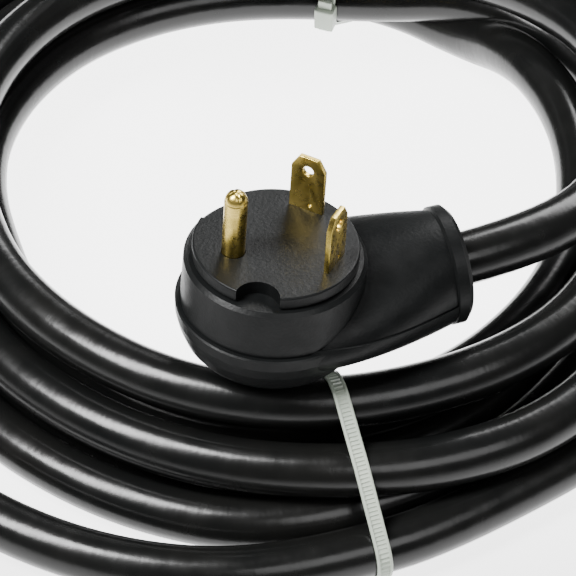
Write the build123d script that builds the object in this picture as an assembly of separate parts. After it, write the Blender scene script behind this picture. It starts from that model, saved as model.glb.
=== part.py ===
from build123d import *
import os
from math import cos, pi, radians, sin, sqrt, tan

# Shore power cord, 30 A: a moulded right-angle plug (NEMA TT-30P pattern), 15 ft of 10/3 cord wound
# in a loose pile of turns, and the twist-lock connector with its threaded ring at the other end.
# The pile stands on z = 0. The origin is under the middle of the plug, connector and ties.

# ---------- driving dimensions (mm) ----------
CORD_D = 16.8               # jacket of 10/3 cord
CORD_R = CORD_D / 2
CORE_R = 2.35               # one insulated core
WIRE_R = 1.5                # its stranded copper
CORE_PITCH = 2.9            # radius of the circle on which the three cores lie

# pile of turns
PILE_HOLE_R = 85.0
PILE_OUTER_R = 143.0
PILE_HEIGHT = 46.6
PILE_CREST = (93.0, 108.0)  # radii between which the pile is at its full height
PILE_EDGE_Z = 13.0          # height of the pile's outer wall
TOE_SHIFT = -11.0           # the bottom turns fan out this far to the left
TOE_HEIGHT = 15.0

# cable ties
TIE_WIDTH = 4.8
TIE_THICK = 1.3
TIE_HEAD = (8.4, 5.2, 6.6)  # along the strap, proud of it, across it
TIE_ANGLE = 70.7            # both ties, each side of the X axis
TIE_SHIFT = -14.0           # where their planes cross the X axis
TIE_HEAD_Z = 24.0
HEAD_SINK = 0.8             # the head's base goes this far into the strap

# plug: its own frame has the face at z = 0 and the cord leaving along +X
PLUG_AT = Location((2.5, -78.6, 87.1), (-4.3, 3.0, 18.5))
FACE_R = 25.5
FACE_RISE = 4.6
GROOVE_DEPTH = 0.9
GROOVE_WIDTH = 0.7
NOTCH_R = 6.8
NOTCH_ANGLE = 121.2
CARRIER_R = 21.0
CARRIER_DEPTH = 15.0
BODY_R = 28.0
SEAM_Z = -21.8
RIM_R = 30.0
PLUG_BOTTOM = -39.0
NECK_AT = Location((0, 0, -25.3), (0, -3.7, 0))     # the neck rises a little towards the cord
NECK_SECTIONS = ((0.0, 28.0, 14.0), (27.0, 27.2, 15.2), (41.0, 23.0, 17.0), (54.5, 17.7, 17.7))
NECK_END = 54.5
COLLAR_R = 18.7
COLLAR_OVERLAP = 4.0        # the collar starts this far inside the neck's end
EXIT_X = 59.5
SEAM_RIDGE = 0.6            # step along the seam of the neck's two halves
SEAM_TILT = 2.4             # the neck's seam falls a little towards the cord
JACKET_IN_PLUG = 19.5

# plug pins
GROUND_PIN_R = 3.57
GROUND_PIN_LENGTH = 23.4
GROUND_PIN_X = -13.7
SHANK_R = 2.97              # ground pin's shank inside the carrier
FLANGE_R = 4.47             # and the flange that keeps it there
BLADE_X = 14.0
BLADE_Y = 13.0
BLADE_WIDTH = 11.3
BLADE_THICK = 1.65
BLADE_LENGTH = 20.0
BLADE_CHAMFER = (2.4, 4.0)
BLADE_HOLE_R = 1.85
BLADE_HOLE_DROP = 5.0
PIN_SEAT = 2.0              # how far the pins' full section goes into the face
SEAT_CLEARANCE = 0.2        # the ground pin's seat is this much thicker than the pin
TAIL_WIDTH = 6.0
TAIL_END = -16.0
BARREL_R = 2.6
BARREL_LENGTH = 5.0
PLUG_STRIP = 3.6            # bare copper at the end of each core
CORE_LEAD_IN = 6.0          # straight start of each core at the jacket's end
CORES_Z = -31.8             # level at which the ground core runs under the carrier
SPLAY_X = 22.0              # where the cores have spread apart
SPLAY_Y = 7.0

# connector: its own frame has the mouth of the ring at x = 0 and the cord leaving along +X
CONNECTOR_AT = Location((-62.3, 92.0, 78.6), (0, 5.5, 0))
RING_R = 30.0
RING_BORE_R = 27.0
RING_LENGTH = 23.0
RING_WEB = 3.0
RING_FLUTES = 24
RING_FLUTE_R = 2.2
RING_THREADS = 5
THREAD_PITCH = 3.0
THREAD_HEIGHT = 0.9
BARREL_OUTER_R = 24.0       # the connector's front barrel, inside the ring
FACE_BLOCK_R = 21.5
FACE_BLOCK_LENGTH = 15.0
NECKED_R = 22.6             # where the ring's web turns
RING_CLEARANCE = 0.1
WEB_PLAY = 0.3              # end play of the ring's web on the neck
GASKET_LENGTH = 2.4
CLIP_THICK = 1.6
CLIP_R = 25.0
CLIP_GAP = (5.0, 8.0)       # across the clip's gap, and its depth
GRIP_R = 22.0
GRIP_RIBS = 6
GRIP_RIB_PITCH = 5.4
GRIP_END = 66.0
BOOT_END = 112.0
BOOT_START_R = 18.5
BOOT_END_R = 11.0
BOOT_SLOTS = 5
BOOT_SLOT_WIDTH = 2.2
BOOT_WALL = 1.6             # rubber left between a bending slot and the jacket
CUT_REACH = 6.0
JACKET_IN_BOOT = 23.0
CONTACT_CIRCLE_R = 13.0
SLOT_THICK = 2.3
SLOT_SPAN = 36.0            # degrees of the contact circle that a slot takes
GROUND_SLOT_HOOK = 3.4
CONTACT_THICK = 0.9
CONTACT_START = 2.5
CONTACT_DEPTH = 13.0
CONNECTOR_STRIP = 5.6
CORE_END = 17.0

# middle line of the cord where it isn't wound, from the plug and from the connector; the first
# point of each is on the axis of the plug's neck or of the connector's boot
AXIS_RUN = 43.0             # from the jacket's end inside to the first point outside
PLUG_LEAD = [(109, -24, 56), (119, 17, 54), (108, 58, 48.5), (78, 92, 41.5), (40, 107, 38.5)]
CONNECTOR_LEAD = [(112, 75, 64.5), (140.5, 39, 57), (148, -3, 41.5), (139.5, -47, 23), (117, -82, 9.8)]

os.makedirs("parts", exist_ok=True)


# ---------- shared helpers ----------
def cylinder_x(radius, start, end, z=0.0, y=0.0):
    """Cylinder along X from start to end."""
    turned = Location(((start + end) / 2, y, z), (0, 90, 0))
    return turned * Cylinder(radius, end - start)


def revolved_x(points):
    """Solid of revolution about the X axis from (x, radius) points."""
    face = make_face(Polyline([(x, r) for x, r in points], close=True))
    return revolve(face, Axis.X)


def revolved_z(points, centre_x=0.0):
    """Solid of revolution about a vertical axis from (radius, z) points."""
    face = Plane.XZ * make_face(Polyline([(r, z) for r, z in points], close=True))
    return Location((centre_x, 0, 0)) * revolve(face, Axis.Z)


def route(points):
    """Path of straight runs joined by arcs as large as the runs allow, and the arcs' radii."""
    vectors = [Vector(*p) for p in points]
    runs = [b - a for a, b in zip(vectors, vectors[1:])]
    radii = []
    for before, after in zip(runs, runs[1:]):
        half_turn = radians(before.get_angle(after)) / 2
        radii.append(0.45 * min(before.length, after.length) / tan(half_turn))
    return FilletPolyline(*vectors, radius=radii), radii


def swept(path, radius, hole=0.0):
    """Round tube along a path."""
    start = Plane(path @ 0, z_dir=path % 0)
    section = start * Circle(radius)
    if hole:
        section -= start * Circle(hole)
    return sweep(section, path=path)


def save(solid, name, place=Location()):
    """Writes one solid as a part of its own."""
    solid = place * solid
    solid.label = name
    export_step(solid, f"parts/{name}.step")


def insulated_core(points, strip):
    """Copper and insulation along one core; the copper runs on past the insulation by strip."""
    last, before = Vector(*points[-1]), Vector(*points[-2])
    direction = (last - before).normalized()
    end = last - direction * strip
    path, _ = route(points[:-1] + [tuple(end)])
    bare = Plane(end, z_dir=direction) * Location((0, 0, strip / 2)) * Cylinder(WIRE_R, strip)
    return swept(path, WIRE_R) + bare, swept(path, CORE_R, WIRE_R)


# ---------- pile of turns and ties ----------
def pile(inset=0.0):
    """Outer shape of the pile, drawn in by inset."""
    inner, outer, top = PILE_HOLE_R + inset, PILE_OUTER_R - inset, PILE_HEIGHT - inset
    crest_in, crest_out = PILE_CREST
    mound = revolved_z([
        (inner, inset), (inner, top - (crest_in - PILE_HOLE_R)), (crest_in, top),
        (crest_out - inset / 2, top), (outer, PILE_EDGE_Z), (outer, inset),
    ])
    toe = revolved_z([(inner, inset), (inner, TOE_HEIGHT - inset), (outer, TOE_HEIGHT - inset),
                      (outer, inset)], TOE_SHIFT)
    hole = Location((0, 0, PILE_HEIGHT / 2)) * Cylinder(inner, PILE_HEIGHT * 2)
    return mound + (toe - hole)


def make_ties_and_pile():
    """Both ties, flush in grooves round the pile, and the grooved pile."""
    whole = pile()
    band = whole - pile(TIE_THICK)
    length, proud, across = TIE_HEAD
    slab = Location((PILE_OUTER_R, 0, 0)) * Box(2 * PILE_OUTER_R, TIE_WIDTH, 3 * PILE_HEIGHT)
    off_middle = TIE_SHIFT * sin(radians(TIE_ANGLE))
    wall = sqrt(PILE_HOLE_R ** 2 - off_middle ** 2) - TIE_SHIFT * cos(radians(TIE_ANGLE))
    head = Location((wall + HEAD_SINK - proud / 2, 0, TIE_HEAD_Z)) * Box(proud, across, length)
    for name, angle in (("cable_tie_front", -TIE_ANGLE), ("cable_tie_back", TIE_ANGLE)):
        turned = Location((TIE_SHIFT, 0, 0), (0, 0, angle))
        strap = band & (turned * slab)
        whole -= strap
        save(strap + (turned * head - whole), name)
    save(whole, "cord_coil")


# ---------- plug ----------
def blade(side):
    """Flat blade with its tail and crimp barrel; side is +1 at the back, -1 at the front."""
    width_in, drop = BLADE_CHAMFER
    half = BLADE_WIDTH / 2
    outline = Polyline([
        (-half, -PIN_SEAT), (half, -PIN_SEAT),
        (half, BLADE_LENGTH - drop), (half - width_in, BLADE_LENGTH),
        (width_in - half, BLADE_LENGTH), (-half, BLADE_LENGTH - drop),
    ], close=True)
    plate = Plane.XZ * make_face(outline)
    plate -= Plane.XZ * (Location((0, BLADE_LENGTH - BLADE_HOLE_DROP)) * Circle(BLADE_HOLE_R))
    solid = extrude(plate, BLADE_THICK / 2, both=True)
    solid += Location((0, 0, TAIL_END / 2)) * Box(TAIL_WIDTH, BLADE_THICK, -TAIL_END)
    solid += Location((0, 0, TAIL_END - BARREL_LENGTH / 2 + 1)) * Cylinder(BARREL_R, BARREL_LENGTH)
    return Location((BLADE_X, side * BLADE_Y, 0), (0, 0, -45 * side)) * solid


def ground_pin():
    """Round pin with a domed tip, and its seat, flange, shank and crimp barrel in the carrier."""
    straight = GROUND_PIN_LENGTH - GROUND_PIN_R
    barrel_end = TAIL_END - BARREL_LENGTH + 1
    pin = Location((0, 0, straight / 2)) * Cylinder(GROUND_PIN_R, straight)
    pin += Location((0, 0, straight)) * Sphere(GROUND_PIN_R)
    for radius, start, end in (
        (GROUND_PIN_R + SEAT_CLEARANCE, 0, -PIN_SEAT), (FLANGE_R, -4, -6),
        (SHANK_R, -PIN_SEAT, -8), (BARREL_R, -8, barrel_end),
    ):
        pin += Location((0, 0, (start + end) / 2)) * Cylinder(radius, start - end)
    return Location((GROUND_PIN_X, 0, 0)) * pin


def pin_carrier():
    """Rigid block that holds the pins; its disc is the plug's face."""
    disc = Location((0, 0, -FACE_RISE / 2)) * Cylinder(FACE_R, FACE_RISE)
    disc = fillet(disc.edges().sort_by(Axis.Z)[-1], 0.6)
    core_height = CARRIER_DEPTH - FACE_RISE
    core = Location((0, 0, -FACE_RISE - core_height / 2)) * Cylinder(CARRIER_R, core_height)
    carrier = disc + core
    ring = Cylinder(FACE_R + 1, GROOVE_WIDTH) - Cylinder(FACE_R - GROOVE_DEPTH, GROOVE_WIDTH)
    carrier -= Location((0, 0, -FACE_RISE + GROOVE_WIDTH / 2)) * ring
    for side in (1, -1):
        angle = radians(NOTCH_ANGLE * side)
        at = Location((FACE_R * cos(angle), FACE_R * sin(angle), -FACE_RISE / 2))
        carrier -= at * Cylinder(NOTCH_R, FACE_RISE)
    return carrier


def neck(growth):
    """Lofted neck from the body to the collar, grown by growth all round."""
    sections = []
    for x, half_width, half_height in NECK_SECTIONS:
        place = NECK_AT * Location(Plane(origin=(x, 0, 0), x_dir=(0, 1, 0), z_dir=(1, 0, 0)))
        sections.append(place * Ellipse(half_width + growth, half_height + growth))
    return loft(sections)


def plug_shell():
    """Outer moulding: upper body, lower shell with its proud rim, neck and collar."""
    upper = revolved_z([(0, -FACE_RISE), (BODY_R - 1.2, -FACE_RISE), (BODY_R, -FACE_RISE - 1.2),
                        (BODY_R + 0.4, SEAM_Z - 1), (0, SEAM_Z - 1)])
    lower = revolved_z([
        (0, SEAM_Z), (RIM_R - 0.5, SEAM_Z), (RIM_R, SEAM_Z - 0.5), (RIM_R - 0.2, SEAM_Z - 4),
        (RIM_R - 1.2, SEAM_Z - 8), (RIM_R - 3, SEAM_Z - 12.5), (RIM_R - 5, SEAM_Z - 15.2),
        (RIM_R - 8, PLUG_BOTTOM + 0.5), (RIM_R - 10, PLUG_BOTTOM), (0, PLUG_BOTTOM),
    ])
    depth = 2 * RIM_R
    seam = Location((BODY_R, 0, SEAM_Z), (0, SEAM_TILT, 0))
    below = seam * Location((0, 0, -depth / 2)) * Box(3 * EXIT_X, 2 * depth, depth)
    collar = revolved_x([
        (NECK_END - COLLAR_OVERLAP, 0), (NECK_END - COLLAR_OVERLAP, COLLAR_R - 1.4),
        (NECK_END - 0.8, COLLAR_R - 1), (NECK_END, COLLAR_R),
        (EXIT_X - 1.6, COLLAR_R), (EXIT_X, COLLAR_R - 1.8), (EXIT_X, 0),
    ])
    return upper + neck(0) + (neck(SEAM_RIDGE) & below) + lower + NECK_AT * collar


def make_plug():
    jacket_end = EXIT_X - JACKET_IN_PLUG
    wire_top = TAIL_END - BARREL_LENGTH + 4
    metal = {"ground_pin": ground_pin(), "neutral_blade": blade(1), "line_blade": blade(-1)}
    feet = {
        "neutral": [(SPLAY_X, SPLAY_Y, CORES_Z + 5), (BLADE_X, BLADE_Y, CORES_Z + 2)],
        "line": [(SPLAY_X, -SPLAY_Y, CORES_Z + 5), (BLADE_X, -BLADE_Y, CORES_Z + 2)],
        "ground": [(SPLAY_X, 0, CORES_Z), (4, 0, CORES_Z - 1), (GROUND_PIN_X, 0, CORES_Z)],
    }
    inside = []
    for i, (name, bends) in enumerate(feet.items()):
        angle = radians(60 - 120 * i)
        offset = (CORE_PITCH * sin(angle), CORE_PITCH * cos(angle))
        start = NECK_AT * Location((jacket_end, *offset))
        lead_in = NECK_AT * Location((jacket_end - CORE_LEAD_IN, *offset))
        last = (bends[-1][0], bends[-1][1], wire_top)
        points = [tuple(start.position), tuple(lead_in.position)] + bends + [last]
        copper, cover = insulated_core(points, PLUG_STRIP)
        inside += [(f"plug_{name}_wire", copper), (f"plug_{name}_insulation", cover)]
    wires = [solid for _, solid in inside]
    for name in metal:
        for label, solid in inside:
            if label.endswith("wire"):
                metal[name] -= solid
    carrier = pin_carrier()
    shell = plug_shell() - carrier
    shell -= NECK_AT * cylinder_x(CORD_R, jacket_end, EXIT_X + 1)
    for solid in list(metal.values()) + wires:
        carrier -= solid
        shell -= solid
    save(shell, "plug_overmould", PLUG_AT)
    save(carrier, "plug_pin_carrier", PLUG_AT)
    for name, solid in list(metal.items()) + inside:
        save(solid, name, PLUG_AT)


# ---------- connector ----------
def arc_plate(radius, thick, span, start, end):
    """Plate bent round the X axis, centred on +Z."""
    outer = cylinder_x(radius + thick / 2, start, end) - cylinder_x(radius - thick / 2, start, end)
    reach = radius * 2
    rise = reach * tan(radians(span / 2))
    wedge = Plane.YZ * make_face(Polyline([(0, 0), (rise, reach), (-rise, reach)], close=True))
    return outer & (Location((start, 0, 0)) * extrude(wedge, end - start))


def slot_cutter(start, end, hooked):
    """Space for one curved blade; the ground blade has a short inward hook."""
    cutter = arc_plate(CONTACT_CIRCLE_R, SLOT_THICK, SLOT_SPAN, start, end)
    if hooked:
        side = CONTACT_CIRCLE_R * sin(radians(SLOT_SPAN / 2)) - SLOT_THICK / 2
        top = CONTACT_CIRCLE_R * cos(radians(SLOT_SPAN / 2))
        hook = Box(end - start, SLOT_THICK, GROUND_SLOT_HOOK)
        cutter += Location(((start + end) / 2, side, top - GROUND_SLOT_HOOK / 2 + 0.6)) * hook
    return cutter


def contact():
    """Female contact: two bent leaves joined behind, with a crimp barrel."""
    span = SLOT_SPAN - 14
    reach = SLOT_THICK / 2 - 0.3 + CONTACT_THICK / 2
    outer = arc_plate(CONTACT_CIRCLE_R + reach, CONTACT_THICK, span, CONTACT_START, CONTACT_DEPTH)
    inner = arc_plate(CONTACT_CIRCLE_R - reach, CONTACT_THICK, span, CONTACT_START, CONTACT_DEPTH)
    bridge_end = CONTACT_DEPTH + 1.2
    bridge = arc_plate(CONTACT_CIRCLE_R, 2 * reach + CONTACT_THICK, span, CONTACT_DEPTH, bridge_end)
    barrel = cylinder_x(BARREL_R, bridge_end, CONTACT_DEPTH + 9, CONTACT_CIRCLE_R - 1)
    return outer + inner + bridge + barrel


def locking_ring():
    """Threaded ring, fluted outside, with a web that turns on the connector's neck."""
    body = revolved_x([
        (0, RING_BORE_R), (0, RING_R - 1), (1, RING_R), (RING_LENGTH - 1.5, RING_R),
        (RING_LENGTH, RING_R - 1.5), (RING_LENGTH, NECKED_R + RING_CLEARANCE),
        (RING_LENGTH - RING_WEB, NECKED_R + RING_CLEARANCE), (RING_LENGTH - RING_WEB, RING_BORE_R),
    ])
    for i in range(RING_THREADS):
        x = 2 + THREAD_PITCH * i
        body += revolved_x([(x, RING_BORE_R + 0.1), (x + 0.9, RING_BORE_R - THREAD_HEIGHT),
                            (x + 1.8, RING_BORE_R + 0.1)])
    for i in range(RING_FLUTES):
        turned = Location((0, 0, 0), (360 / RING_FLUTES * i, 0, 0))
        flute = cylinder_x(RING_FLUTE_R, 2.5, RING_LENGTH + 1, RING_R + RING_FLUTE_R - 0.9)
        body -= turned * flute
    return body


def connector_shell():
    """Moulded housing: front barrel, neck for the ring, and ribbed grip."""
    web_end = RING_LENGTH + WEB_PLAY
    web_start = RING_LENGTH - RING_WEB - WEB_PLAY
    profile = [
        (0, 0), (0, BARREL_OUTER_R - 0.8), (0.8, BARREL_OUTER_R), (web_start, BARREL_OUTER_R),
        (web_start, NECKED_R), (web_end, NECKED_R), (web_end + CLIP_THICK, NECKED_R),
        (web_end + CLIP_THICK, GRIP_R + 1.2), (web_end + CLIP_THICK + 2, GRIP_R + 1.4),
    ]
    x = web_end + CLIP_THICK + 4
    for _ in range(GRIP_RIBS):
        profile += [(x, GRIP_R - 0.8), (x + 1.2, GRIP_R - 1.6),
                    (x + 2.4, GRIP_R - 0.8), (x + 3.2, GRIP_R)]
        x += GRIP_RIB_PITCH
    profile += [(x, GRIP_R), (GRIP_END - 4, BOOT_START_R + 1.2), (GRIP_END, BOOT_START_R), (GRIP_END, 0)]
    return revolved_x(profile)


def strain_relief():
    """Tapered boot with bending slots, its cord bore ending inside."""
    boot = revolved_x([
        (GRIP_END, 0), (GRIP_END, BOOT_START_R - 1.5), (GRIP_END + 3, BOOT_START_R - 1.7),
        (BOOT_END - 1, BOOT_END_R), (BOOT_END, BOOT_END_R - 0.8), (BOOT_END, 0),
    ])
    pitch = (BOOT_END - GRIP_END - 10) / BOOT_SLOTS
    cut = Box(BOOT_SLOT_WIDTH, 4 * BOOT_START_R, 2 * CUT_REACH)
    for i in range(BOOT_SLOTS):
        x = GRIP_END + 6 + pitch * i
        boot -= Location((x, 0, CORD_R + BOOT_WALL + CUT_REACH)) * cut
        boot -= Location((x + pitch / 2, 0, -CORD_R - BOOT_WALL - CUT_REACH)) * cut
    return boot


def make_connector():
    jacket_end = BOOT_END - JACKET_IN_BOOT
    clip_start = RING_LENGTH + WEB_PLAY
    clip_end = clip_start + CLIP_THICK
    clip = cylinder_x(CLIP_R, clip_start, clip_end) - cylinder_x(NECKED_R, clip_start, clip_end)
    clip -= Location((clip_start + CLIP_THICK / 2, 0, CLIP_R)) * Box(2 * CLIP_THICK, *CLIP_GAP)
    seat = RING_LENGTH - RING_WEB - WEB_PLAY
    gasket = cylinder_x(RING_BORE_R - 1.4, seat - GASKET_LENGTH, seat)
    gasket -= cylinder_x(BARREL_OUTER_R, seat - GASKET_LENGTH, seat)
    face = cylinder_x(FACE_BLOCK_R, 0, FACE_BLOCK_LENGTH)
    shell = connector_shell() - face
    boot = strain_relief()
    core_r = CONTACT_CIRCLE_R - 1
    points = [(jacket_end, 0, CORE_PITCH), (jacket_end - 12, 0, CORE_PITCH),
              (jacket_end - 36, 0, core_r), (CORE_END, 0, core_r)]
    copper, cover = insulated_core(points, CONNECTOR_STRIP)
    metal = contact() - copper
    pieces = []
    for i, name in enumerate(("ground", "neutral", "line")):
        turned = Location((0, 0, 0), (120 * i, 0, 0))
        face -= turned * slot_cutter(0, FACE_BLOCK_LENGTH, name == "ground")
        for label, solid in (("contact", metal), ("wire", copper), ("insulation", cover)):
            placed = turned * solid
            face -= placed
            shell -= placed
            boot -= placed
            pieces.append((f"connector_{name}_{label}", placed))
    boot -= cylinder_x(CORD_R, jacket_end, BOOT_END + 1)
    pieces += [("connector_shell", shell), ("connector_face_block", face),
               ("connector_strain_relief", boot), ("locking_ring", locking_ring()),
               ("ring_retaining_clip", clip), ("sealing_gasket", gasket)]
    for name, solid in pieces:
        save(solid, name, CONNECTOR_AT)


# ---------- cord outside the pile ----------
def make_leads():
    in_plug = PLUG_AT * NECK_AT * Location((EXIT_X - JACKET_IN_PLUG, 0, 0))
    in_boot = CONNECTOR_AT * Location((BOOT_END - JACKET_IN_BOOT, 0, 0))
    for name, start, rest in (("cord_lead_plug", in_plug, PLUG_LEAD),
                              ("cord_lead_connector", in_boot, CONNECTOR_LEAD)):
        first = start * Location((AXIS_RUN, 0, 0))
        points = [tuple(start.position), tuple(first.position)] + rest
        path, radii = route(points)
        tube = swept(path, CORD_R)
        print(name, "first two points", [[round(c, 1) for c in p] for p in points[:2]])
        print(name, "radii", [round(r) for r in radii], "length", round(path.length, 1),
              "volume / (section x length)", round(tube.volume / (pi * CORD_R ** 2 * path.length), 4))
        save(tube, name)


make_ties_and_pile()
make_plug()
make_connector()
make_leads()
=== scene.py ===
from math import cos, pi, radians, sin

import bmesh
import bpy
import numpy as np
from mathutils import Matrix, Vector


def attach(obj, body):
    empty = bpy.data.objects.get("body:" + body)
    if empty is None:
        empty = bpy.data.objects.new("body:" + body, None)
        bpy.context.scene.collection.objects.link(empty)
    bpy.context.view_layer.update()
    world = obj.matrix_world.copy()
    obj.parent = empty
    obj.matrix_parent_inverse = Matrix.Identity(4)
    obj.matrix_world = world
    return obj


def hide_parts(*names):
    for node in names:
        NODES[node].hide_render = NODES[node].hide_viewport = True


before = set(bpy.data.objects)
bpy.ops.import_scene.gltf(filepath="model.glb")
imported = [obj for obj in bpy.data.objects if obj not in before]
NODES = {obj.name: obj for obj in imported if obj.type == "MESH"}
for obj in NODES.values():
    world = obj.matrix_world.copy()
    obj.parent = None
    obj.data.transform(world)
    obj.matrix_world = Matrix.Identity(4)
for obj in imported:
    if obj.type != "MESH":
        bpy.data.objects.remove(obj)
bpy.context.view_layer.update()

# Shore power cord: the moulded plug lies face up on a loose pile of turns, the twist-lock connector
# lies on the pile behind it. Everything is in metres, in the frame of the CAD model.
MM = 0.001
ROOT = "cord_and_housings"


def link(obj):
    bpy.context.scene.collection.objects.link(obj)
    return obj


# ---------- camera and stage ----------
# the camera's direction is read off the ellipse of the plug's face in the photograph
AIM = Vector((6.0, -6.9, -6.8)) * MM
CAMERA_AT = Vector((6.0, -979.5, 1000.3)) * MM
LENS = 265.46
SENSOR = 36

FLOOR_HALF = 4.0
FLOOR_GREY = 0.22
# the floor glows round this point: full glow inside the first distance, the faint one past the second
GLOW_AT = (0, 0.16, 0)
GLOW_RANGE = (0.18, 0.5)
GLOW = (5.0, 0.25)
WORLD_STRENGTH = 0.08
# name, place, size and power in watts; each one faces the middle of the pile
LIGHTS = (
    ("key", (-0.6, -0.25, 1.05), (0.35, 0.7), 50),
    ("back", (0.55, 0.85, 0.85), (0.9, 0.5), 24),
    ("fill", (0.6, -0.95, 1.15), (1.0, 0.7), 11),
)


def add_camera():
    data = bpy.data.cameras.new("camera")
    data.lens = LENS
    data.sensor_width = SENSOR
    data.clip_start = 0.05
    data.clip_end = 50
    obj = link(bpy.data.objects.new("camera", data))
    obj.location = CAMERA_AT
    obj.rotation_euler = (AIM - CAMERA_AT).to_track_quat("-Z", "Y").to_euler()
    bpy.context.scene.camera = obj


def softbox(name, at, size, power):
    light = bpy.data.lights.new(name, "AREA")
    light.shape = "RECTANGLE"
    light.size, light.size_y = size
    light.energy = power
    obj = link(bpy.data.objects.new(name, light))
    obj.location = at
    obj.rotation_euler = (-Vector(at)).to_track_quat("-Z", "Y").to_euler()


# ---------- materials ----------
def new_material(name):
    mat = bpy.data.materials.new(name)
    mat.use_nodes = True
    return mat, mat.node_tree, mat.node_tree.nodes["Principled BSDF"]


def add_noise(tree, scale, detail, stretch=(1, 1, 1), coords="Object"):
    place = tree.nodes.new("ShaderNodeTexCoord")
    mapping = tree.nodes.new("ShaderNodeMapping")
    mapping.inputs["Scale"].default_value = stretch
    noise = tree.nodes.new("ShaderNodeTexNoise")
    noise.inputs["Scale"].default_value = scale
    noise.inputs["Detail"].default_value = detail
    tree.links.new(place.outputs[coords], mapping.inputs["Vector"])
    tree.links.new(mapping.outputs["Vector"], noise.inputs["Vector"])
    return noise.outputs["Fac"]


def add_ramp(tree, factor, stops):
    ramp = tree.nodes.new("ShaderNodeValToRGB")
    while len(ramp.color_ramp.elements) < len(stops):
        ramp.color_ramp.elements.new(0.5)
    for element, (at, colour) in zip(ramp.color_ramp.elements, stops):
        element.position = at
        element.color = (*colour, 1)
    tree.links.new(factor, ramp.inputs["Fac"])
    return ramp.outputs["Color"]


def add_range(tree, factor, low, high):
    """Spreads the middle of a noise over low to high."""
    span = tree.nodes.new("ShaderNodeMapRange")
    span.inputs["From Min"].default_value = 0.3
    span.inputs["From Max"].default_value = 0.7
    span.inputs["To Min"].default_value = low
    span.inputs["To Max"].default_value = high
    tree.links.new(factor, span.inputs["Value"])
    return span.outputs["Result"]


def add_bump(tree, shader, height, distance, under=None):
    bump = tree.nodes.new("ShaderNodeBump")
    bump.inputs["Distance"].default_value = distance
    tree.links.new(height, bump.inputs["Height"])
    if under is not None:
        tree.links.new(under, bump.inputs["Normal"])
    tree.links.new(bump.outputs["Normal"], shader.inputs["Normal"])
    return bump.outputs["Normal"]


def moulded(name, dark, light, roughness, grain, depth, specular):
    """Moulded plastic or rubber: mottled colour, fine grain and an uneven gloss."""
    mat, tree, shader = new_material(name)
    cloud = add_noise(tree, 45, 3)
    tree.links.new(add_ramp(tree, cloud, [(0.3, dark), (0.7, light)]), shader.inputs["Base Color"])
    tree.links.new(add_range(tree, add_noise(tree, 160, 4), *roughness), shader.inputs["Roughness"])
    shader.inputs["Specular IOR Level"].default_value = specular
    add_bump(tree, shader, add_noise(tree, grain, 5), depth)
    return mat


def metal(name, dark, light, roughness, scratch):
    """Rolled or turned metal: tarnish in soft patches and fine drawn lines."""
    mat, tree, shader = new_material(name)
    shader.inputs["Metallic"].default_value = 1.0
    cloud = add_noise(tree, 260, 5)
    tree.links.new(add_ramp(tree, cloud, [(0.35, dark), (0.65, light)]), shader.inputs["Base Color"])
    tree.links.new(add_range(tree, add_noise(tree, 420, 4), *roughness), shader.inputs["Roughness"])
    add_bump(tree, shader, add_noise(tree, 900, 3, scratch), 0.00002)
    return mat


JACKET_COLOURS = [(0.3, (0.0030, 0.0033, 0.0033)), (0.7, (0.0050, 0.0050, 0.0046))]
JACKET_ROUGHNESS = (0.20, 0.28)
JACKET_SPECULAR = 0.28
DENT_DEPTH = 0.0001
RING_DEPTH = 0.00004
RINGS_STRETCH = (2600, 6, 1)    # fine along the cord, coarse round it


def jacket_material():
    """Shiny black jacket with shallow dents and the extruder's fine rings across it."""
    mat, tree, shader = new_material("cord_jacket")
    cloud = add_noise(tree, 30, 4)
    tree.links.new(add_ramp(tree, cloud, JACKET_COLOURS), shader.inputs["Base Color"])
    gloss = add_range(tree, add_noise(tree, 120, 4), *JACKET_ROUGHNESS)
    tree.links.new(gloss, shader.inputs["Roughness"])
    shader.inputs["Specular IOR Level"].default_value = JACKET_SPECULAR
    dents = add_bump(tree, shader, add_noise(tree, 140, 4), DENT_DEPTH)
    rings = add_noise(tree, 1, 2, RINGS_STRETCH, "UV")
    add_bump(tree, shader, rings, RING_DEPTH, under=dents)
    return mat


# ---------- the cord ----------
CORD_D = 16.8
CORD_R = CORD_D / 2
PLUG_END = [(39.1, -67.8, 61.6), (79.9, -54.2, 61.2)]
PLUG_LEAD = [(109, -24, 56), (119, 17, 54), (108, 58, 48.5), (78, 92, 41.5), (40, 107, 38.5)]
CONNECTOR_END = [(26.3, 92.0, 70.1), (69.1, 92.0, 65.9)]
CONNECTOR_LEAD = [(112, 75, 64.5), (140.5, 39, 57), (148, -3, 41.5), (139.5, -47, 23), (117, -82, 9.8)]

# Each turn's distance from the middle at these angles, then its height there, from the back left round
# by the front to the back right. Two turns in a row change places at the back, between the two angles
# of CHANGES.
ANGLES = (135, 160, 190, 230, 255, 272, 288, 302, 320, 360, 400)
ALL = len(ANGLES)
ON_FLOOR = CORD_R
TURNS = (
    ((108, 103, 95.5, 93, 96, 98.5, 101, 104, 112.5, 116, 118),
     (38,) * ALL),
    ((121.5, 117, 108, 107, 110.5, 115, 120.5, 127.5, 132.5, 131, 131),
     (24,) * ALL),
    ((105, 100, 90, 89, 93.5, 96.5, 98, 98.5, 99.5, 101, 108),
     (23, 23, 23, 23, 22.5, 22, 22, 24, 29, 31, 33)),
    ((124.5, 110, 103, 102, 104, 106, 103, 101, 99, 103, 115),
     (ON_FLOOR,) * ALL),
    ((141, 127, 120, 118.5, 121.5, 124.5, 117, 117, 116, 118, 132),
     (ON_FLOOR,) * 7 + (9, 13, 12, ON_FLOOR)),
    ((138, 143, 148, 148, 146, 142, 133, 136, 138, 138, 138),
     (24.5, 12) + (8.5,) * 9),
)
CHANGES = ((412, 452), (398, 437), (393, 427), (378, 420), (362, 405))
FIRST_ANGLE = 85
LAST_ANGLE = 5 * 360 + 305
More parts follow.
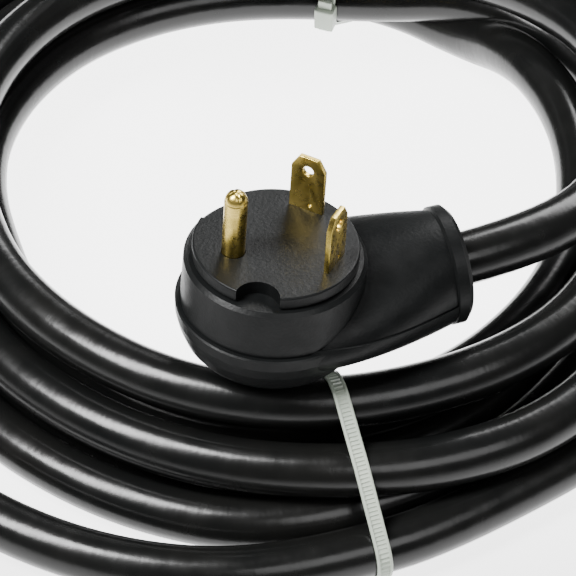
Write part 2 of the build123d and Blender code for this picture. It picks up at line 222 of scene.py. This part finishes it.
STEP = 5                        # degrees from one station of the winding to the next
POINT_EVERY = 3                 # stations from one point of the route to the next

# settling: turns that are too close push each other away, and are drawn back to their place
ROUNDS = 400
TURN_GAP = 0.15
TURN_PUSH = 0.3
LEAD_PUSH = 0.2
SAME_RUN = 9                    # stations this near along the cord don't push each other
END_STATIONS = 4
END_HOLD = 0.5
HOLD = 0.02
HIGHEST = 38.2                  # axis of the top turns

# the cable ties' planes are upright, turned this far from the X axis, and cross it at TIE_SHIFT
TIE_ANGLE = 70.7
TIE_SHIFT = -14.0
TIE_THICK = 1.3
TIE_WIDTH = 4.8
STRAP_REACH = 28.0              # how far along a turn the strap under it lifts it


def tie_plane(points, angle):
    """Distance of each point along a tie's plane and across it."""
    turn = radians(angle)
    x, y = points[:, 0] - TIE_SHIFT, points[:, 1]
    return x * cos(turn) + y * sin(turn), y * cos(turn) - x * sin(turn)


def smooth(t):
    t = min(max(t, 0.0), 1.0)
    return t * t * (3 - 2 * t)


def turn_at(angle):
    """Where the winding is after this many degrees, before the turns settle on each other."""
    turn = int(max(angle - ANGLES[0], 0) // 360)
    local = angle - 360 * turn
    radius, height = (np.interp(local, ANGLES, row) for row in TURNS[turn])
    if turn < len(CHANGES):
        start, end = CHANGES[turn]
        share = smooth((local - start) / (end - start))
        radius += (TURNS[turn + 1][0][0] - radius) * share
        height += (TURNS[turn + 1][1][0] - height) * share
    return radius, height


def quadratic(points, steps=8):
    """Points along the smooth curve that has these control points."""
    points = np.array(points, float)
    knots = [points[0]] + [(a + b) / 2 for a, b in zip(points[1:-2], points[2:-1])] + [points[-1]]
    line = []
    for i, (a, c) in enumerate(zip(knots, knots[1:])):
        b = points[i + 1]
        for t in np.arange(0, 1, 1 / steps):
            line.append(a * (1 - t) ** 2 + 2 * b * t * (1 - t) + c * t ** 2)
    return np.array(line + [points[-1]])


def strap_lift(points):
    """How far the bottom turns lie off the floor where a tie passes under them."""
    lift = np.zeros(len(points))
    for angle in (-TIE_ANGLE, TIE_ANGLE):
        along, across = tie_plane(points, angle)
        near = np.exp(-(across / STRAP_REACH) ** 2) * (along > 0)
        lift = np.maximum(lift, TIE_THICK * near)
    return lift


def push_apart(points, others, counts, wanted, push):
    """How each point moves away from the others that count and are nearer than wanted."""
    gap = points[:, None] - others[None]
    far = np.linalg.norm(gap, axis=2)
    deep = np.where(counts & (far < wanted), wanted - far, 0)
    return (gap / np.maximum(far, 1e-6)[..., None] * deep[..., None] * push).sum(axis=1)


def settle(points, obstacles):
    """Turns that lie in each other move apart, stay above the floor and keep near their place."""
    target = points.copy()
    count = len(points)
    index = np.arange(count)
    apart = np.abs(index[:, None] - index[None]) > SAME_RUN
    ends = np.minimum(index, count - 1 - index)
    hold = np.where(ends < END_STATIONS, END_HOLD, HOLD)
    meets_leads = ends[:, None] > SAME_RUN
    lowest = CORD_R + strap_lift(target)
    for _ in range(ROUNDS):
        move = push_apart(points, points, apart, CORD_D + TURN_GAP, TURN_PUSH)
        move += push_apart(points, obstacles, meets_leads, CORD_D, LEAD_PUSH)
        points = points + move
        drift = points - target
        drift[1:-1] = drift[1:-1] * 0.5 + (drift[:-2] + drift[2:]) * 0.25
        drift *= (1 - hold)[:, None]
        points = target + drift
        points[:, 2] = np.clip(points[:, 2], lowest, HIGHEST)
    return points


def coil_points():
    """The winding, station by station, settled, then thinned to the points of its curve."""
    raw = []
    for angle in range(FIRST_ANGLE, LAST_ANGLE + 1, STEP):
        radius, height = turn_at(angle)
        raw.append((radius * cos(radians(angle)), radius * sin(radians(angle)), height))
    leads = np.vstack([quadratic(PLUG_END + PLUG_LEAD), quadratic(CONNECTOR_END + CONNECTOR_LEAD)])
    lying = settle(np.array(raw), leads)
    taken = lying[::POINT_EVERY].copy()
    # the curve passes inside its points, so they stand a little further out than the turn
    taken[:, :2] /= 1 - (1 - cos(radians(POINT_EVERY * STEP))) / 4
    return [tuple(p) for p in taken]


def cord_route():
    """All points of the cord's middle line in mm, from the plug to the connector."""
    return PLUG_END + PLUG_LEAD + coil_points() + (CONNECTOR_END + CONNECTOR_LEAD)[::-1]


def make_cord(route):
    data = bpy.data.curves.new("power_cord", "CURVE")
    data.dimensions = "3D"
    data.bevel_depth = CORD_R * MM
    data.bevel_resolution = 7
    data.resolution_u = 8
    data.use_fill_caps = True
    spline = data.splines.new("NURBS")
    spline.points.add(len(route) - 1)
    for point, (x, y, z) in zip(spline.points, route):
        point.co = (x * MM, y * MM, z * MM, 1)
    spline.order_u = 3
    spline.use_endpoint_u = True
    data.materials.append(jacket_material())
    obj = link(bpy.data.objects.new("power_cord", data))
    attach(obj, ROOT)
    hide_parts("cord_coil", "cord_lead_plug", "cord_lead_connector")
    on_it = [NODES[n] for n in NODES if n.startswith(("connector_", "ring_"))]
    on_it += [NODES["locking_ring"], NODES["sealing_gasket"]]


# ---------- cable ties ----------
TOOTH_PITCH = 1.3
TOOTH_DIPS = (0.30, 0.42, 0.42, 0.12)   # how far the ladder dips at each quarter of a tooth
STRAP_BASE = 0.05
STRAP_TOP = 1.2
STRAP_CLEARANCE = 0.1
PILE_IN = 40                    # a turn that a tie crosses lies past this distance, and under this height
PILE_TOP = 45
# low and high corner along the tie's plane, up and across, from the strap's inmost point, and the bevel
HEAD_BLOCKS = (
    ((-5.2, -4.2, -3.3), (0.05, 4.2, 3.3), 0.7),        # the box
    ((-3.6, 3.6, -2.3), (-2.3, 7.4, 2.3), 0.25),        # the strap's cut tail
    ((-4.4, -4.9, -1.9), (-1.6, -3.6, 1.9), 0.3),       # the lip that the strap goes in by
)


def finish_mesh(name, bm, mat, flat):
    """A mesh object from bm, smooth except at edges sharper than flat degrees."""
    bmesh.ops.recalc_face_normals(bm, faces=bm.faces)
    for face in bm.faces:
        face.smooth = True
    for edge in bm.edges:
        if len(edge.link_faces) == 2 and edge.calc_face_angle(0) > radians(flat):
            edge.smooth = False
    data = bpy.data.meshes.new(name)
    bm.to_mesh(data)
    bm.free()
    data.materials.append(mat)
    return link(bpy.data.objects.new(name, data))


def hull(points):
    """Convex outline of points in a plane, counter-clockwise."""
    points = sorted(points)
    halves = []
    for ordered in (points, points[::-1]):
        half = []
        for p in ordered:
            while len(half) > 1 and ((half[-1][0] - half[-2][0]) * (p[1] - half[-2][1])
                                     - (half[-1][1] - half[-2][1]) * (p[0] - half[-2][0])) <= 0:
                half.pop()
            half.append(p)
        halves.append(half[:-1])
    return halves[0] + halves[1]


def resample(outline, pitch):
    """Points at even spacing round a closed outline."""
    ring = np.array(outline + outline[:1])
    runs = np.linalg.norm(np.diff(ring, axis=0), axis=1)
    at = np.concatenate([[0], np.cumsum(runs)])
    count = int(at[-1] / pitch)
    stations = np.arange(count) * at[-1] / count
    return np.column_stack([np.interp(stations, at, ring[:, i]) for i in (0, 1)])


def make_tie(name, line, angle, mat):
    """Strap drawn tight round the turns it crosses, with its ladder of teeth, head and cut tail."""
    along, across = tie_plane(line, angle)
    crossings = []
    for i in range(len(line) - 1):
        if across[i] * across[i + 1] <= 0 and along[i] > PILE_IN and line[i][2] < PILE_TOP:
            share = across[i] / (across[i] - across[i + 1])
            crossings.append((along[i] + (along[i + 1] - along[i]) * share,
                              line[i][2] + (line[i + 1][2] - line[i][2]) * share))
    reach = CORD_R + STRAP_CLEARANCE
    rim = [(t + reach * cos(a), z + reach * sin(a)) for t, z in crossings
           for a in np.linspace(0, 2 * pi, 72, endpoint=False)]
    path = resample(hull(rim), TOOTH_PITCH / len(TOOTH_DIPS))
    ahead = np.roll(path, -1, axis=0) - np.roll(path, 1, axis=0)
    ahead /= np.linalg.norm(ahead, axis=1)[:, None]
    turn = radians(angle)
    out = np.array([cos(turn), sin(turn), 0])
    side = np.array([-sin(turn), cos(turn), 0])

    def place(t, z, width):
        return (np.array([TIE_SHIFT, 0, z]) + out * t + side * width) * MM

    bm = bmesh.new()
    rings = []
    half = TIE_WIDTH / 2
    for i, ((t, z), (dt, dz)) in enumerate(zip(path, ahead)):
        ladder = STRAP_TOP - TOOTH_DIPS[i % len(TOOTH_DIPS)]
        edge = [(half, STRAP_BASE), (half, STRAP_TOP - 0.2), (half - 0.3, STRAP_TOP),
                (half - 0.8, STRAP_TOP), (half - 0.95, ladder)]
        section = [(-w, up) for w, up in edge] + edge[::-1]
        rings.append([bm.verts.new(place(t + dz * up, z - dt * up, w)) for w, up in section])
    for a, b in zip(rings, rings[1:] + rings[:1]):
        for j in range(len(a)):
            k = (j + 1) % len(a)
            bm.faces.new((a[j], a[k], b[k], b[j]))
    strap = finish_mesh(name, bm, mat, 28)
    inmost = path[:, 0].argmin()
    add_tie_head(name, path[inmost], place, strap, mat)
    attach(strap, ROOT)
    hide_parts(name)


def add_block(bm, lows, highs, place, bevel):
    """Box between two corners, with rounded edges."""
    corners = [bm.verts.new(place(t, z, w)) for t in (lows[0], highs[0]) for z in (lows[1], highs[1])
               for w in (lows[2], highs[2])]
    faces = [bm.faces.new([corners[i] for i in ids]) for ids in
             ((0, 1, 3, 2), (4, 6, 7, 5), (0, 4, 5, 1), (2, 3, 7, 6), (0, 2, 6, 4), (1, 5, 7, 3))]
    edges = {edge for face in faces for edge in face.edges}
    bmesh.ops.bevel(bm, geom=list(edges), offset=bevel * MM, segments=3, affect="EDGES", profile=0.6)


def add_tie_head(name, at, place, strap, mat):
    """Head on the inside of the pile, with the strap's cut tail standing out of it."""
    t, z = at
    bm = bmesh.new()
    for low, high, bevel in HEAD_BLOCKS:
        lows, highs = ((t + along, z + up, across) for along, up, across in (low, high))
        add_block(bm, lows, highs, place, bevel)
    head = finish_mesh(name + "_head", bm, mat, 35)
    head.parent = strap


# ---------- plug pins ----------
def axis_turn(degrees_each):
    """Turns about X, Y and Z, in that order, each about the turned axes."""
    turn = Matrix.Identity(4)
    for axis, angle in zip("XYZ", degrees_each):
        turn = turn @ Matrix.Rotation(radians(angle), 4, axis)
    return turn


# the plug's own frame has its face at z = 0 and the cord leaving along +X
PLUG_AT = Vector((2.5, -78.6, 87.1)) * MM
PLUG_TURN = (-4.3, 3.0, 18.5)
PLUG_PLACE = Matrix.Translation(PLUG_AT) @ axis_turn(PLUG_TURN)
SUNK = -1.6                     # where the pins start, inside the face
PIN_R = 3.57
PIN_LENGTH = 23.4
PIN_X = -13.7
PIN_STEP = 0.13                 # how much thinner the pressed tip is
FOLD_DEPTH = 0.30
FOLD_WIDTH = 0.42
FOLD_SINK = 0.16                # how far the folds draw the tip in
PIN_SIDES = 72
TIP_RINGS = 12


def make_ground_pin(mat):
    """Drawn tube with a pressed, folded tip."""
    tip = PIN_LENGTH - PIN_R
    profile = [(0, SUNK)] + [(PIN_R, z) for z in (SUNK, 0.0, 6.0, 12.0, tip - 0.5, tip - 0.25)]
    profile += [(PIN_R - PIN_STEP, z) for z in (tip - 0.05, tip + 0.15)]
    for i in range(1, TIP_RINGS + 1):
        a = pi / 2 * i / TIP_RINGS
        profile.append(((PIN_R - PIN_STEP) * cos(a), tip + 0.15 + (PIN_R - 0.2) * sin(a)))
    bm = bmesh.new()
    rings = []
    for r, z in profile:
        if r < 1e-6:
            rings.append([bm.verts.new((0, 0, z * MM))])
            continue
        ring = []
        for j in range(PIN_SIDES):
            a = 2 * pi * j / PIN_SIDES
            x, y = r * cos(a), r * sin(a)
            high = max(0.0, (z - tip) / PIN_R)
            creases = np.exp(-(x / FOLD_WIDTH) ** 2) + 0.7 * np.exp(-(y / FOLD_WIDTH) ** 2)
            fold = FOLD_DEPTH * high ** 0.5 * creases
            sink = 1 - fold * FOLD_SINK
            ring.append(bm.verts.new((x * sink * MM, y * sink * MM, (z - fold) * MM)))
        rings.append(ring)
    for a, b in zip(rings, rings[1:]):
        for j in range(PIN_SIDES):
            k = (j + 1) % PIN_SIDES
            if len(a) == 1:
                bm.faces.new((a[0], b[k], b[j]))
            elif len(b) == 1:
                bm.faces.new((a[j], a[k], b[0]))
            else:
                bm.faces.new((a[j], a[k], b[k], b[j]))
    place = PLUG_PLACE @ Matrix.Translation((PIN_X * MM, 0, 0))
    bmesh.ops.transform(bm, matrix=place, verts=bm.verts)
    pin = finish_mesh("ground_pin_drawn", bm, mat, 50)
    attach(pin, ROOT)
    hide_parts("ground_pin")


BLADE_X = 14.0
BLADE_Y = 13.0
BLADE_WIDTH = 11.3
BLADE_THICK = 1.65
BLADE_LENGTH = 20.0
BLADE_CHAMFER = (2.4, 4.0)
BLADE_EDGE = 0.16               # roundness of the stamped edges
# middle, radius and sides of the latch hole and of the punch mark
BLADE_HOLES = (((0.0, BLADE_LENGTH - 5), 1.85, 40), ((1.3, 1.9), 0.62, 20))


def make_blade(name, side, mat):
    """Stamped blade with softened edges, its latch hole and a small punch mark near the face."""
    data = bpy.data.curves.new(name + "_stamped", "CURVE")
    data.dimensions = "2D"
    data.fill_mode = "BOTH"
    data.bevel_depth = BLADE_EDGE * MM
    data.bevel_resolution = 2
    data.extrude = (BLADE_THICK / 2 - BLADE_EDGE) * MM
    half = BLADE_WIDTH / 2 - BLADE_EDGE
    top = BLADE_LENGTH - BLADE_EDGE
    width_in, drop = BLADE_CHAMFER
    rims = [[(-half, SUNK), (half, SUNK), (half, top - drop), (half - width_in, top),
             (width_in - half, top), (-half, top - drop)]]
    for (x, y), hole_r, sides in BLADE_HOLES:
        r = hole_r + BLADE_EDGE
        turns = [2 * pi * i / sides for i in range(sides)]
        rims.append([(x + r * cos(a), y + r * sin(a)) for a in turns])
    for rim in rims:
        spline = data.splines.new("POLY")
        spline.points.add(len(rim) - 1)
        for point, (x, y) in zip(spline.points, rim):
            point.co = (x * MM, y * MM, 0, 1)
        spline.use_cyclic_u = True
    data.materials.append(mat)
    flat = link(bpy.data.objects.new(name + "_stamped", data))
    bpy.context.view_layer.update()
    mesh = bpy.data.meshes.new_from_object(flat.evaluated_get(bpy.context.evaluated_depsgraph_get()))
    bpy.data.objects.remove(flat)
    bm = bmesh.new()
    bm.from_mesh(mesh)
    bmesh.ops.remove_doubles(bm, verts=bm.verts, dist=1e-6)
    stand = Matrix.Rotation(radians(-45 * side), 4, "Z") @ Matrix.Rotation(radians(90), 4, "X")
    place = PLUG_PLACE @ Matrix.Translation((BLADE_X * MM, side * BLADE_Y * MM, 0)) @ stand
    bmesh.ops.transform(bm, matrix=place, verts=bm.verts)
    blade = finish_mesh(name + "_stamped", bm, mat, 40)
    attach(blade, ROOT)
    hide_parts(name)


# ---------- finishes of the CAD parts ----------
# dark and light colour, roughness, how fine the grain is, how deep it is, specular level
MOULDED = {
    "black_pvc": ((0.0028, 0.0031, 0.0032), (0.0048, 0.0052, 0.0052), (0.34, 0.46), 900, 0.00009, 0.12),
    "ring_nylon": ((0.007, 0.007, 0.008), (0.012, 0.012, 0.013), (0.34, 0.46), 1200, 0.00004, 0.5),
    "grey_nylon": ((0.30, 0.30, 0.30), (0.38, 0.38, 0.38), (0.4, 0.55), 1400, 0.00003, 0.5),
    "soft_rubber": ((0.006, 0.006, 0.006), (0.010, 0.0095, 0.009), (0.5, 0.65), 1000, 0.00006, 0.5),
    "natural_nylon": ((0.27, 0.31, 0.26), (0.38, 0.42, 0.35), (0.3, 0.42), 1500, 0.00002, 0.5),
    "green_insulation": ((0.02, 0.18, 0.05), (0.03, 0.24, 0.07), (0.35, 0.45), 1200, 0.00003, 0.5),
    "white_insulation": ((0.70, 0.70, 0.68), (0.78, 0.78, 0.76), (0.35, 0.45), 1200, 0.00003, 0.5),
    "black_insulation": ((0.006, 0.006, 0.006), (0.010, 0.010, 0.010), (0.35, 0.45), 1200, 0.00003, 0.5),
}
# dark and light colour, roughness, how the scratches are stretched
METALS = {
    "brass": ((0.50, 0.375, 0.085), (0.64, 0.48, 0.13), (0.22, 0.36), (1, 1, 6)),
    "copper": ((0.72, 0.35, 0.20), (0.86, 0.46, 0.28), (0.25, 0.4), (1, 6, 1)),
    "spring_steel": ((0.45, 0.45, 0.46), (0.6, 0.6, 0.61), (0.2, 0.35), (1, 5, 1)),
}
CORES = {"ground": "green_insulation", "neutral": "white_insulation", "line": "black_insulation"}
FINISH = {
    "plug_overmould": "black_pvc",
    "plug_pin_carrier": "black_pvc",
    "connector_shell": "black_pvc",
    "connector_face_block": "grey_nylon",
    "connector_strain_relief": "soft_rubber",
    "sealing_gasket": "soft_rubber",
    "locking_ring": "ring_nylon",
    "ring_retaining_clip": "spring_steel",
}
for core, insulation in CORES.items():
    FINISH[f"connector_{core}_contact"] = "brass"
    for end in ("plug", "connector"):
        FINISH[f"{end}_{core}_wire"] = "copper"
        FINISH[f"{end}_{core}_insulation"] = insulation


def all_materials():
    made = {name: moulded(name, *look) for name, look in MOULDED.items()}
    made.update({name: metal(name, *look) for name, look in METALS.items()})
    return made


def paint_parts(mats):
    for node, finish in FINISH.items():
        for slot in NODES[node].material_slots:
            slot.material = mats[finish]


def add_floor():
    data = bpy.data.meshes.new("floor")
    corners = [(x * FLOOR_HALF, y * FLOOR_HALF, 0) for x, y in ((-1, -1), (1, -1), (1, 1), (-1, 1))]
    data.from_pydata(corners, [], [(0, 1, 2, 3)])
    floor = link(bpy.data.objects.new("floor", data))
    mat, tree, shader = new_material("floor")
    shader.inputs["Base Color"].default_value = (FLOOR_GREY, FLOOR_GREY, FLOOR_GREY, 1)
    shader.inputs["Roughness"].default_value = 0.8
    shader.inputs["Specular IOR Level"].default_value = 0.1
    shader.inputs["Emission Color"].default_value = (1, 1, 1, 1)
    place = tree.nodes.new("ShaderNodeTexCoord")
    reach = tree.nodes.new("ShaderNodeVectorMath")
    reach.operation = "DISTANCE"
    reach.inputs[1].default_value = GLOW_AT
    fade = tree.nodes.new("ShaderNodeMapRange")
    fade.interpolation_type = "SMOOTHSTEP"
    fade.inputs["From Min"].default_value = GLOW_RANGE[0]
    fade.inputs["From Max"].default_value = GLOW_RANGE[1]
    fade.inputs["To Min"].default_value = GLOW[0]
    fade.inputs["To Max"].default_value = GLOW[1]
    tree.links.new(place.outputs["Object"], reach.inputs[0])
    tree.links.new(reach.outputs["Value"], fade.inputs["Value"])
    tree.links.new(fade.outputs["Result"], shader.inputs["Emission Strength"])
    data.materials.append(mat)


def add_world():
    world = bpy.data.worlds.new("world")
    bpy.context.scene.world = world
    world.use_nodes = True
    back = world.node_tree.nodes["Background"]
    back.inputs["Color"].default_value = (1, 1, 1, 1)
    back.inputs["Strength"].default_value = WORLD_STRENGTH


add_camera()
ROUTE = cord_route()
make_cord(ROUTE)
MATS = all_materials()
paint_parts(MATS)
make_ground_pin(MATS["brass"])
make_blade("neutral_blade", 1, MATS["brass"])
make_blade("line_blade", -1, MATS["brass"])
CORD_LINE = quadratic(ROUTE)
make_tie("cable_tie_front", CORD_LINE, -TIE_ANGLE, MATS["natural_nylon"])
make_tie("cable_tie_back", CORD_LINE, TIE_ANGLE, MATS["natural_nylon"])
add_floor()
add_world()
for light in LIGHTS:
    softbox(*light)
